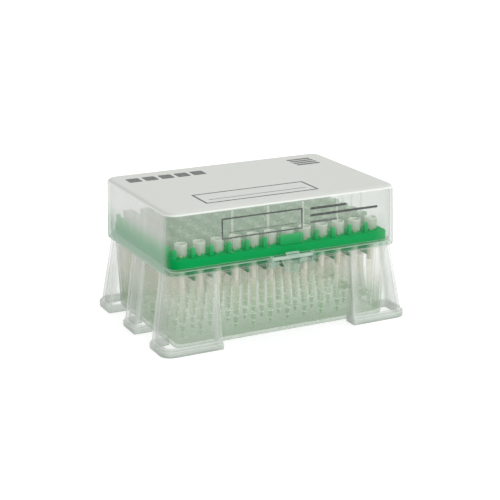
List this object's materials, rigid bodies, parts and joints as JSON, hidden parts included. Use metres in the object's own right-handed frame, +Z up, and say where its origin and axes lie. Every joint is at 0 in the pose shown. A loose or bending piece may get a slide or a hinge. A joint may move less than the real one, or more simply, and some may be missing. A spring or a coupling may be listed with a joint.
{
  "type": "box of pipette tips",
  "caption": "Hinged translucent box on six flared legs with a green rack deck of hanging filter tips and a rocking front latch.",
  "frame": {"origin": "centre of the footprint, on the plane that the feet stand on", "axes": "+X right along the long front, +Y from the latch towards the hinge, +Z up"},
  "size_m": [0.1278, 0.0874, 0.0655],
  "materials": {
    "base_plastic": "translucent, satin",
    "lid_plastic": "translucent, lightly frosted",
    "latch_plastic": "translucent, smooth",
    "green_plastic": "opaque saturated green, satin",
    "tip_plastic": "clear, smooth"
  },
  "bodies": {
    "box": {"base": "base_plastic", "rack_deck": "green_plastic", "tip_a01": "tip_plastic", "tip_a02": "tip_plastic", "tip_a03": "tip_plastic", "tip_a04": "tip_plastic", "tip_a05": "tip_plastic", "tip_a06": "tip_plastic", "tip_a07": "tip_plastic", "tip_a08": "tip_plastic", "tip_a09": "tip_plastic", "tip_a10": "tip_plastic", "tip_a11": "tip_plastic", "tip_a12": "tip_plastic", "tip_b01": "tip_plastic", "tip_b02": "tip_plastic", "tip_b03": "tip_plastic", "tip_b04": "tip_plastic", "tip_b05": "tip_plastic", "tip_b06": "tip_plastic", "tip_b07": "tip_plastic", "tip_b08": "tip_plastic", "tip_b09": "tip_plastic", "tip_b10": "tip_plastic", "tip_b11": "tip_plastic", "tip_b12": "tip_plastic", "tip_c01": "tip_plastic", "tip_c02": "tip_plastic", "tip_c03": "tip_plastic", "tip_c04": "tip_plastic", "tip_c05": "tip_plastic", "tip_c06": "tip_plastic", "tip_c07": "tip_plastic", "tip_c08": "tip_plastic", "tip_c09": "tip_plastic", "tip_c10": "tip_plastic", "tip_c11": "tip_plastic", "tip_c12": "tip_plastic", "tip_d01": "tip_plastic", "tip_d02": "tip_plastic", "tip_d03": "tip_plastic", "tip_d04": "tip_plastic", "tip_d05": "tip_plastic", "tip_d06": "tip_plastic", "tip_d07": "tip_plastic", "tip_d08": "tip_plastic", "tip_d09": "tip_plastic", "tip_d10": "tip_plastic", "tip_d11": "tip_plastic", "tip_d12": "tip_plastic"},
    "lid": {"lid": "lid_plastic"},
    "latch": {"latch": "latch_plastic"}
  },
  "joints": [
    {"name": "lid_hinge", "type": "hinge", "parent": "box", "child": "lid", "pos_m": [0, 0.0409, 0.0356], "axis": [-1, 0, 0], "range_deg": [0, 110]},
    {"name": "latch_rock", "type": "hinge", "parent": "box", "child": "latch", "pos_m": [0.002, -0.0412, 0.0382], "axis": [1, 0, 0], "range_deg": [0, 10], "stiffness_Nm_per_rad": 0.02}
  ]
}
